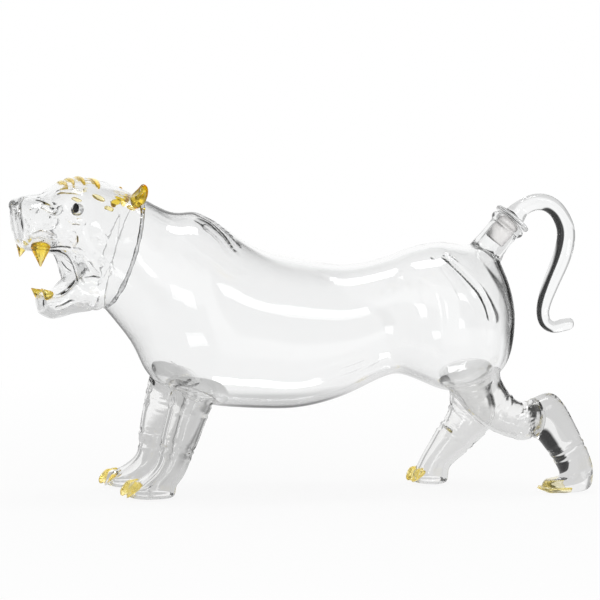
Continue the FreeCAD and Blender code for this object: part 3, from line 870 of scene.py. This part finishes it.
def ringCrease(bm, centre, axis, reach):
    # A wavering groove round a limb, with a soft ridge below it
    bm.normal_update()
    waveHeight, waveCell = legPlan["ringWave"]
    ridge, ridgePlace = legPlan["ridge"]
    for vert in bm.verts:
        offset = vert.co - centre
        if offset.length < reach:
            wave = waveHeight * noise.noise(vert.co / waveCell)
            away = (offset.dot(axis) + wave) / legPlan["ringWidth"]
            share = math.exp(-away * away) - ridge * math.exp(-(away - ridgePlace) ** 2)
            vert.co -= vert.normal * (legPlan["ringDepth"] * share)


def makeLeg(name):
    plan = legPlan
    leg = legs[name]
    path = legPath(leg)
    ovals = []
    for i, (centre, depth, width) in enumerate(path):
        run = path[min(i + 1, len(path) - 1)][0] - path[max(i - 1, 0)][0]
        ahead = run.cross(Vector((0, 1, 0))).normalized() * depth
        ovals.append((centre - ahead, centre + ahead, width, sideways))
    sole = Vector((*leg["sole"], 0))
    bulge = plan["pawBulge"] * plan["pawWidth"]
    heel = Vector((leg.get("heel", 0), 0, 0))
    for share, high, back in plan["pawRings"]:
        reach = Vector((share * leg["paw"] / 2, 0, 0))
        centre = sole + up * (high * bulge) + heel * back
        ovals.append((centre - reach, centre + reach, share * plan["pawWidth"] / 2, sideways))
    fine = throughOvals(ovals[:-2], plan["steps"]) + ovals[-2:]
    bm = bmesh.new()
    rings = ovalTube(bm, fine[plan["steps"] - 1:], plan["segments"], closeEnd=True)
    flareOut(rings, path)
    piece = makePiece(name + "Limb", bm)
    subdivide(piece, levels=2)
    bm = settle(piece)
    for place in leg["rings"]:
        upper, lower = path[int(place)], path[int(place) + 1]
        centre = upper[0].lerp(lower[0], place % 1)
        axis = (lower[0] - upper[0]).normalized()
        ringCrease(bm, centre, axis, upper[1] * plan["ringReach"])
    height, radius, rise, way = plan["toeSwell"]
    for spread, reach in zip(plan["toeSpread"], plan["toeReach"]):
        swell(bm, toePlace(leg, spread, reach, height), radius, rise, way)
    for spread in plan["gapSpread"]:
        gap = toePlace(leg, spread, plan["gapReach"], 0)
        crease(bm, [gap] + [gap + step for step in plan["gapLine"]], *plan["gapSize"])
    waver(bm, *plan["waver"], Vector((leg["sole"][0] / mm, *plan["waverSeed"])))
    stayAboveFloor(bm)
    skin = BVHTree.FromBMesh(bm)
    putBack(piece, bm)
    wall(piece, leg.get("wall", plan["wall"]), legWall)
    if "solidFrom" in leg:
        fillBeyond(piece, path, leg["solidFrom"])
    finishPiece(piece, "vessel", "legGlass", leg["node"] + "_leg")
    return skin


legSkins = {name: makeLeg(name) for name in legs}
print("legs drawn")


# Claws: three amber bands over the toes of each paw

clawPlan = {"size": (11 * mm, 6.6 * mm, 4.6 * mm), "height": 4.6 * mm, "slope": 36.0, "lift": 0.9 * mm}


def makeClaws(name):
    leg = legs[name]
    slope = math.radians(leg.get("clawSlope", clawPlan["slope"]))
    along = Vector((math.cos(slope), 0, math.sin(slope)))
    height = leg.get("clawHeight", clawPlan["height"])
    bm = bmesh.new()
    for spread, reach in zip(legPlan["toeSpread"], legPlan["toeReach"]):
        dab(bm, legSkins[name], toePlace(leg, spread, reach, height), along, sideways,
            leg.get("clawSize", clawPlan["size"]), clawPlan["lift"])
    stayAboveFloor(bm)
    addPiece(name + "Claws", bm, 1, "vessel", "clawGlass", leg["node"] + "_claws")


for name in legs:
    makeClaws(name)
print("claws set")


# Features of the face: ears, eyes, fangs and stripes

earPlan = {
    "left": (-0.100, 0.385, 0.520), "leftSize": (8.6 * mm, 10 * mm, 14.5 * mm),
    "right": (-0.050, 0.385, 0.520), "rightSize": (5.4 * mm, 8.5 * mm, 12 * mm),
    "cup": 0.36, "cupPlace": (-0.6, 0.16), "cupRadius": 0.6,     # shares of the ear's sizes
    "lean": 12.0, "back": 26.0, "point": 0.35,
}
eyePlan = {"pixel": (77.5, 208.5), "size": 7.0 * mm, "sink": 2.3 * mm, "pupilPixel": (76.0, 208.4),
           "pupil": (3.2 * mm, 3.7 * mm, 5.3 * mm), "pupilSink": -0.6 * mm}
# Fangs: the outline's radius and height as shares of the length. Each tooth has its root and tip as pixels of
# the picture, and how far to the left of the head's middle it stands.
fangPlan = {
    "outline": ((0, -0.26), (0.32, -0.22), (0.47, -0.05), (0.48, 0.10), (0.37, 0.34), (0.23, 0.58),
                (0.12, 0.80), (0.05, 0.95), (0, 1)),
    "flat": 0.8,
    "segments": 24,
    "teeth": {
        "upperLeft": {"node": "upper_left_fang", "root": (40.5, 248), "tip": (40.5, 267), "left": 0.46},
        "upperRight": {"node": "upper_right_fang", "root": (23, 243), "tip": (19.5, 257), "left": -0.44},
        "lowerLeft": {"node": "lower_left_fang", "root": (50, 299), "tip": (41, 288.5), "left": 0.27},
        "lowerRight": {"node": "lower_right_fang", "root": (41, 297), "tip": (31, 288), "left": -0.27},
    },
}
# Crown: place along the head, length across it, width and sideways shift of each bar.
# Temples: pixel of the picture, slope, length, width and thickness. Lengths in both are in millimetres.
stripePlan = {
    "crown": ((0.250, 42, 5.4, 0.10), (0.400, 32, 3.8, 0.12), (0.510, 30, 3.6, 0.12),
              (0.600, 26, 3.4, 0.12)),
    "crownThick": 1.3 * mm,
    "crownHigh": 0.55,
    "temples": (((98.5, 197.5), -45.0, 8.0, 5.2, 1.2), ((131, 208), -12.0, 5.5, 3.2, 3.0)),
}
headTurn = Matrix.Rotation(turned, 4, "Z")
sides = (("left", 1), ("right", -1))


def makeEar(side, sign):
    size = earPlan[side + "Size"]
    u, w, v = earPlan[side]
    bm = bmesh.new()
    drop(bm, size, Matrix.Identity(4))
    for vert in bm.verts:
        vert.co.y *= 1 - earPlan["point"] * max(0, vert.co.z / (size[2] / 2))
    cupX, cupZ = earPlan["cupPlace"]
    hollow = Vector((size[0] * cupX, 0, size[2] * cupZ))
    swell(bm, hollow, size[1] * earPlan["cupRadius"], earPlan["cup"] * size[0], Vector((1, 0, 0)))
    pose = (Matrix.Translation(headPoint(u, w, v * sign)) @ headTurn
            @ Matrix.Rotation(math.radians(sign * earPlan["lean"]), 4, "X")
            @ Matrix.Rotation(math.radians(earPlan["back"]), 4, "Y"))
    bmesh.ops.transform(bm, matrix=pose, verts=bm.verts[:])
    addPiece(side + "EarCup", bm, 1, "vessel", "amberGlass", side + "_ear")


def spotOnHead(pixel, sign):
    # The point of the head's skin at a pixel, or its twin on the other side, with the way out of the skin
    hit, normal = headSkin.ray_cast(*pixelRay(pixel))[:2]
    if sign < 0:
        hit = mirrored([hit], True)[0]
        normal = normal - headLeft * (2 * normal.dot(headLeft))
    return hit, normal


def makeEye(side, sign):
    hit, normal = spotOnHead(eyePlan["pixel"], sign)
    bm = bmesh.new()
    drop(bm, (eyePlan["size"],) * 3, Matrix.Translation(hit - normal * eyePlan["sink"]))
    addPiece(side + "EyeBead", bm, 1, "vessel", "clearGlass", side + "_eye")
    hit, normal = spotOnHead(eyePlan["pupilPixel"], sign)
    bm = bmesh.new()
    drop(bm, eyePlan["pupil"], Matrix.Translation(hit - normal * eyePlan["pupilSink"]) @ headTurn)
    addPiece(side + "PupilDot", bm, 1, "vessel", "blackGlass", side + "_pupil")


def onHeadSlice(pixel, left):
    # Where a line of sight crosses the head's upright slice at that place
    start, way = pixelRay(pixel)
    origin = headPoint(0, 0, left)
    return start + way * ((origin - start).dot(headLeft) / way.dot(headLeft))


def makeFang(name):
    plan = fangPlan["teeth"][name]
    root = headSkin.find_nearest(onHeadSlice(plan["root"], plan["left"]))[0]
    run = onHeadSlice(plan["tip"], plan["left"]) - root
    along = run.normalized()
    across = (headLeft - along * headLeft.dot(along)).normalized()
    pose = fromColumns(across.cross(along), across * fangPlan["flat"], along, root)
    bm = bmesh.new()
    outline = [(radius * run.length, height * run.length) for radius, height in fangPlan["outline"]]
    lathe(bm, outline, fangPlan["segments"], pose)
    addPiece(name + "Tooth", bm, 1, "vessel", "amberGlass", plan["node"])


def makeStripes():
    for side, sign in sides:
        bm = bmesh.new()
        for pixel, slope, length, width, thick in stripePlan["temples"]:
            hit = spotOnHead(pixel, sign)[0]
            lean = Matrix.Rotation(math.radians(slope), 3, headLeft)
            dab(bm, headSkin, hit, lean @ -forward, lean @ up, (length * mm, width * mm, thick * mm))
        addPiece(side + "TempleDabs", bm, 1, "vessel", "dabGlass", side + "_temple_stripes")
    bm = bmesh.new()
    for u, length, width, v in stripePlan["crown"]:
        dab(bm, headSkin, headPoint(u, stripePlan["crownHigh"], v), headLeft, forward,
            (length * mm, width * mm, stripePlan["crownThick"]))
    addPiece("crownDabs", bm, 1, "vessel", "dabGlass", "crown_stripes")


for side, sign in sides:
    makeEar(side, sign)
    makeEye(side, sign)
for name in fangPlan["teeth"]:
    makeFang(name)
makeStripes()
print("face set")


# Spout, stopper and tail, all on the spout's leaning axis

spoutPlan = {
    "lean": 40.0,
    "footShares": (0.960, 0.800),
    "length": 21 * mm,
    "root": 3.5 * mm,             # how far it reaches into the torso
    "outer": 8.5 * mm,
    "flare": 2.4 * mm,
    "flareHeight": 3.0 * mm,
    "rimHeight": 5 * mm,
    # The rim's outline in millimetres: radius beyond the tube, and height above the rim's foot
    "rimOutline": ((0, -0.8), (0.5, 0), (1.6, 1.2), (2.0, 2.5), (1.6, 3.5), (0.4, 5)),
    "mouth": 6.5 * mm,
    "mouthEdge": (0.5 * mm, 0.6 * mm),     # width and depth
    "foot": 5.75 * mm,
    "plugLength": 15 * mm,
    "plugEdge": 0.6 * mm,
    "clearance": 0.06 * mm,
    "gap": 0.3 * mm,
    "collar": 11 * mm,
    "collarHeight": 3 * mm,
    # The collar's outline in millimetres: how far inside its edge, and height
    "collarOutline": ((1.2, 0), (0.3, 0.5), (0, 1.5), (0.3, 2.5), (1.4, 3.0), (4.5, 3.3)),
    "segments": 64,
}
# Tail: pixels of the picture along the rod's middle, with its radius there in millimetres
tailPlan = {
    "flare": 6.2 * mm,
    "path": (
        ((522.4, 207.6), 4.8), ((536.2, 201.9), 4.7), ((549.0, 204.0), 4.7), ((559.5, 214.0), 4.7),
        ((566.0, 232.0), 5.1), ((562.6, 254.0), 5.2), ((549.8, 286.0), 4.5), ((543.0, 308.0), 3.7),
        ((544.6, 321.5), 3.4), ((552.5, 327.0), 3.2), ((562.0, 325.3), 3.5), ((569.6, 323.6), 3.2),
        ((572.6, 323.2), 2.2), ((573.6, 323.1), 0.7),
    ),
    "segments": 24,
    "steps": 4,
}
spoutLean = math.radians(spoutPlan["lean"])
spoutAxis = Vector((math.sin(spoutLean), 0, math.cos(spoutLean)))
spoutFoot = torsoPoint(*spoutPlan["footShares"])


def onSpout(height):
    # Height along the axis above the spout's foot
    return Matrix.Translation(spoutFoot + spoutAxis * height) @ Matrix.Rotation(spoutLean, 4, "Y")


def makeSpout():
    plan = spoutPlan
    length, outer = plan["length"], plan["outer"]
    edgeWidth, edgeDepth = plan["mouthEdge"]
    start = (plan["foot"], -plan["root"])
    rimFoot = length - plan["rimHeight"]
    profile = [start, (outer + plan["flare"], -plan["root"]), (outer, plan["flareHeight"])]
    profile += [(outer + beyond * mm, rimFoot + height * mm) for beyond, height in plan["rimOutline"]]
    profile += [(plan["mouth"] + edgeWidth, length), (plan["mouth"], length - edgeDepth)]
    profile += [(plan["foot"], length - plan["plugLength"]), start]
    bm = bmesh.new()
    lathe(bm, profile, plan["segments"], onSpout(0))
    for vert in bm.verts:
        # The foot's outer edge lies on the torso
        reach = vert.co - spoutFoot
        along = reach.dot(spoutAxis)
        if along < 0 and (reach - spoutAxis * along).length > outer + plan["flare"] / 2:
            vert.co = torsoSkin.find_nearest(vert.co)[0]
    addPiece("pouringSpout", bm, 1, "vessel", "clearGlass", "spout")


def makePlug():
    plan = spoutPlan
    top, foot = plan["mouth"] - plan["clearance"], plan["foot"] - plan["clearance"]
    high, edge = plan["plugLength"], plan["plugEdge"]
    bm = bmesh.new()
    lathe(bm, ((0, 0), (foot - edge, 0), (foot, edge), (top, high), (0, high)), plan["segments"],
          onSpout(plan["length"] + plan["gap"] - high))
    finishPiece(makePiece("stopperPlug", bm), "stopper", "groundGlass", "stopper_plug")


def makeCollar():
    plan = spoutPlan
    outline = [(plan["collar"] - inside * mm, height * mm) for inside, height in plan["collarOutline"]]
    bm = bmesh.new()
    lathe(bm, [(0, 0), *outline, (0, outline[-1][1])], plan["segments"],
          onSpout(plan["length"] + plan["gap"]))
    addPiece("stopperCollar", bm, 1, "tail_grip", "clearGlass", "stopper_collar")


def makeTail():
    plan = tailPlan
    base = spoutFoot + spoutAxis * (spoutPlan["length"] + spoutPlan["gap"] + spoutPlan["collarHeight"])
    rows = [(base, base, plan["flare"])]        # both ends of an oval, here its middle, and the radius
    for pixel, radius in plan["path"]:
        start, way = pixelRay(pixel)
        spot = start - way * (start.y / way.y)      # on the mid plane
        rows.append((spot, spot, radius * mm))
    fine = throughOvals(rows, plan["steps"])
    ovals = []
    for i, row in enumerate(fine):
        centre, thick = row[0], row[2]
        ahead = fine[min(i + 1, len(fine) - 1)][0] - fine[max(i - 1, 0)][0]
        rise = ahead.cross(Vector((0, 1, 0))).normalized() * thick
        ovals.append((centre + rise, centre - rise, thick, sideways))
    bm = bmesh.new()
    ovalTube(bm, ovals, plan["segments"], closeStart=True, closeEnd=True)
    addPiece("tailRod", bm, 2, "tail_grip", "clearGlass", "tail", "tail_tip")


makeSpout()
makePlug()
makeCollar()
makeTail()
print("spout, stopper and tail set")


# Stage: a pale floor between bright walls, with a dark card to the right and a dim one to the left

stagePlan = {
    "floorRadius": 0.7,
    "floorSegments": 96,
    "floorDrop": 0.05 * mm,       # just below the soles
    "floorColour": (0.86, 0.86, 0.86, 1),
    "floorThroughGlass": 0.62,    # the floor's brightness by way of glass
    "floorFade": (0.36, 0.54),    # further off, glass shows the walls instead of the floor
    "floorRear": ((0.0, 0.10), 0.14),     # where the floor grows brighter towards the rear, and by how much
    # A painted shadow under the belly, seen only by way of glass: centre, half sizes, brightness, and where
    # its soft edge starts and ends
    "bellyShadow": ((0.005, 0.085), (0.075, 0.10), 0.34, (0.2, 1.0)),
    "shadowShare": 0.10,          # how much of the floor's look comes from its own shading
    # Edges of the bright walls, as sines of the angle from the line of sight: dark from, bright again from
    "rightCard": ((0.19, 0.29), (0.95, 1.0), 0.03),
    "leftCard": ((-0.42, -0.62), (-0.86, -0.97), 0.45),
    "cardFoot": (-0.24, -0.14),   # the cards end at the height of the floor
    "topEdge": (0.62, 0.86),
    "top": 0.30,
    "frontEdge": (0.25, -0.10),
    "front": 0.70,
    "ambient": 0.62,
    "bounces": 40,                # a line of sight crosses many glass walls
    "glossyBounces": 12,
}
lampPlan = {
    "leftBox": {"place": (-0.55, -1.25, 0.30), "size": (0.22, 0.42), "power": 0.8},
    "rightBox": {"place": (0.50, -0.95, 0.75), "size": (0.42, 0.26), "power": 1.0},
    "topBox": {"place": (0.0, 0.1, 1.3), "size": (0.5, 0.3), "power": 3.0},
}


def ramp(wire, start, end):
    # Runs smoothly from 0 at the start to 1 at the end
    return Wire.node(wire.tree, "ShaderNodeMapRange", {"interpolation_type": "SMOOTHSTEP"},
                     {0: wire, 1: start, 2: end})


def measured(tree, operation, *vectors):
    # A number worked out from vectors
    return Wire.node(tree, "ShaderNodeVectorMath", {"operation": operation}, dict(enumerate(vectors)), 1)


def lightPath(tree, output):
    return Wire.node(tree, "ShaderNodeLightPath", output=output)


def throughGlass(tree):
    # One for lines of sight that come by way of glass or gloss
    total = lightPath(tree, "Is Glossy Ray") + lightPath(tree, "Is Transmission Ray")
    return Wire.node(tree, "ShaderNodeClamp", {}, {"Value": total}) * (1 - lightPath(tree, "Is Camera Ray"))


def makeFloor():
    bm = bmesh.new()
    bmesh.ops.create_circle(bm, cap_ends=True, segments=stagePlan["floorSegments"],
                            radius=stagePlan["floorRadius"])
    floor = makePiece("floor", bm)
    material = bpy.data.materials.new("paleFloor")
    tree = emptyTree(material)
    place = Wire.node(tree, "ShaderNodeTexCoord", output="Object")
    away = measured(tree, "LENGTH", place)
    fade = ramp(away, *stagePlan["floorFade"])
    # Painted shadow: the floor that glass shows is darker under the belly
    (cardX, cardY), (halfX, halfY), level, edge = stagePlan["bellyShadow"]
    inBellyShadow = Wire.node(tree, "ShaderNodeVectorMath", {"operation": "MULTIPLY_ADD"},
                       {0: place, 1: (1 / halfX, 1 / halfY, 0), 2: (-cardX / halfX, -cardY / halfY, 0)})
    outsideBellyShadow = ramp(measured(tree, "LENGTH", inBellyShadow), *edge)
    (rearFrom, rearTo), rearLift = stagePlan["floorRear"]
    rear = ramp(Wire.node(tree, "ShaderNodeSeparateXYZ", {}, {0: place}), rearFrom, rearTo)
    grey = (stagePlan["floorThroughGlass"] + rear * rearLift) * (level + outsideBellyShadow * (1 - level))
    straight = lightPath(tree, "Is Camera Ray")
    glass = throughGlass(tree)
    shaded = Wire.node(tree, "ShaderNodeBsdfDiffuse", {}, {"Color": stagePlan["floorColour"]})
    tone = Wire.node(tree, "ShaderNodeCombineColor", {}, {i: straight + glass * grey for i in range(3)})
    white = Wire.node(tree, "ShaderNodeEmission", {}, {"Color": tone, "Strength": 1.0})
    near = Wire.node(tree, "ShaderNodeClamp", {}, {"Value": 1 - away / stagePlan["floorRadius"]})
    mixed = Wire.node(tree, "ShaderNodeMixShader", {}, {
        0: glass + straight * (1 - near * stagePlan["shadowShare"]),
        1: shaded,
        2: white,
    })
    # Further off, lines of sight by way of glass pass on to the walls
    passed = Wire.node(tree, "ShaderNodeBsdfTransparent")
    mixed = Wire.node(tree, "ShaderNodeMixShader", {}, {0: glass * fade, 1: mixed, 2: passed})
    Wire.node(tree, "ShaderNodeOutputMaterial", {}, {"Surface": mixed})
    floor.data.materials.append(material)
    floor.location.z = -stagePlan["floorDrop"]


def makeWorld():
    world = bpy.data.worlds.new("studio")
    bpy.context.scene.world = world
    tree = emptyTree(world)
    way = Wire.node(tree, "ShaderNodeTexCoord", output="Generated")
    right, rise, back = cameraAxes()
    sight = Vector((-back.x, -back.y, 0)).normalized()
    aside = measured(tree, "DOT_PRODUCT", way, right)
    ahead = measured(tree, "DOT_PRODUCT", way, sight)
    height = Wire.node(tree, "ShaderNodeSeparateXYZ", {}, {0: way}, 2)
    studio = 1 - ramp(height, *stagePlan["topEdge"]) * (1 - stagePlan["top"])
    studio = studio * (1 - ramp(ahead, *stagePlan["frontEdge"]) * (1 - stagePlan["front"]))
    aboveFoot = ramp(height, *stagePlan["cardFoot"])
    for side in ("rightCard", "leftCard"):
        start, end, level = stagePlan[side]
        studio = studio * (1 - (ramp(aside, *start) - ramp(aside, *end)) * (1 - level) * aboveFoot)
    straight = lightPath(tree, "Is Camera Ray")
    glass = throughGlass(tree)
    strength = straight + glass * studio + (1 - straight) * (1 - glass) * stagePlan["ambient"]
    light = Wire.node(tree, "ShaderNodeBackground", {}, {"Color": (1, 1, 1, 1), "Strength": strength})
    Wire.node(tree, "ShaderNodeOutputWorld", {}, {"Surface": light})


def makeLamps():
    for name, plan in lampPlan.items():
        data = bpy.data.lights.new(name, "AREA")
        data.shape = "RECTANGLE"
        data.size, data.size_y = plan["size"]
        data.energy = plan["power"]
        lamp = bpy.data.objects.new(name, data)
        bpy.context.scene.collection.objects.link(lamp)
        lamp.location = plan["place"]
        sight = cameraPlan["aim"] - Vector(plan["place"])
        lamp.rotation_euler = sight.to_track_quat("-Z", "Y").to_euler()


makeFloor()
makeWorld()
makeLamps()

scene = bpy.context.scene
scene.view_settings.view_transform = "Standard"
scene.cycles.max_bounces = stagePlan["bounces"]
scene.cycles.transmission_bounces = stagePlan["bounces"]
scene.cycles.glossy_bounces = stagePlan["glossyBounces"]
print("stage lit")
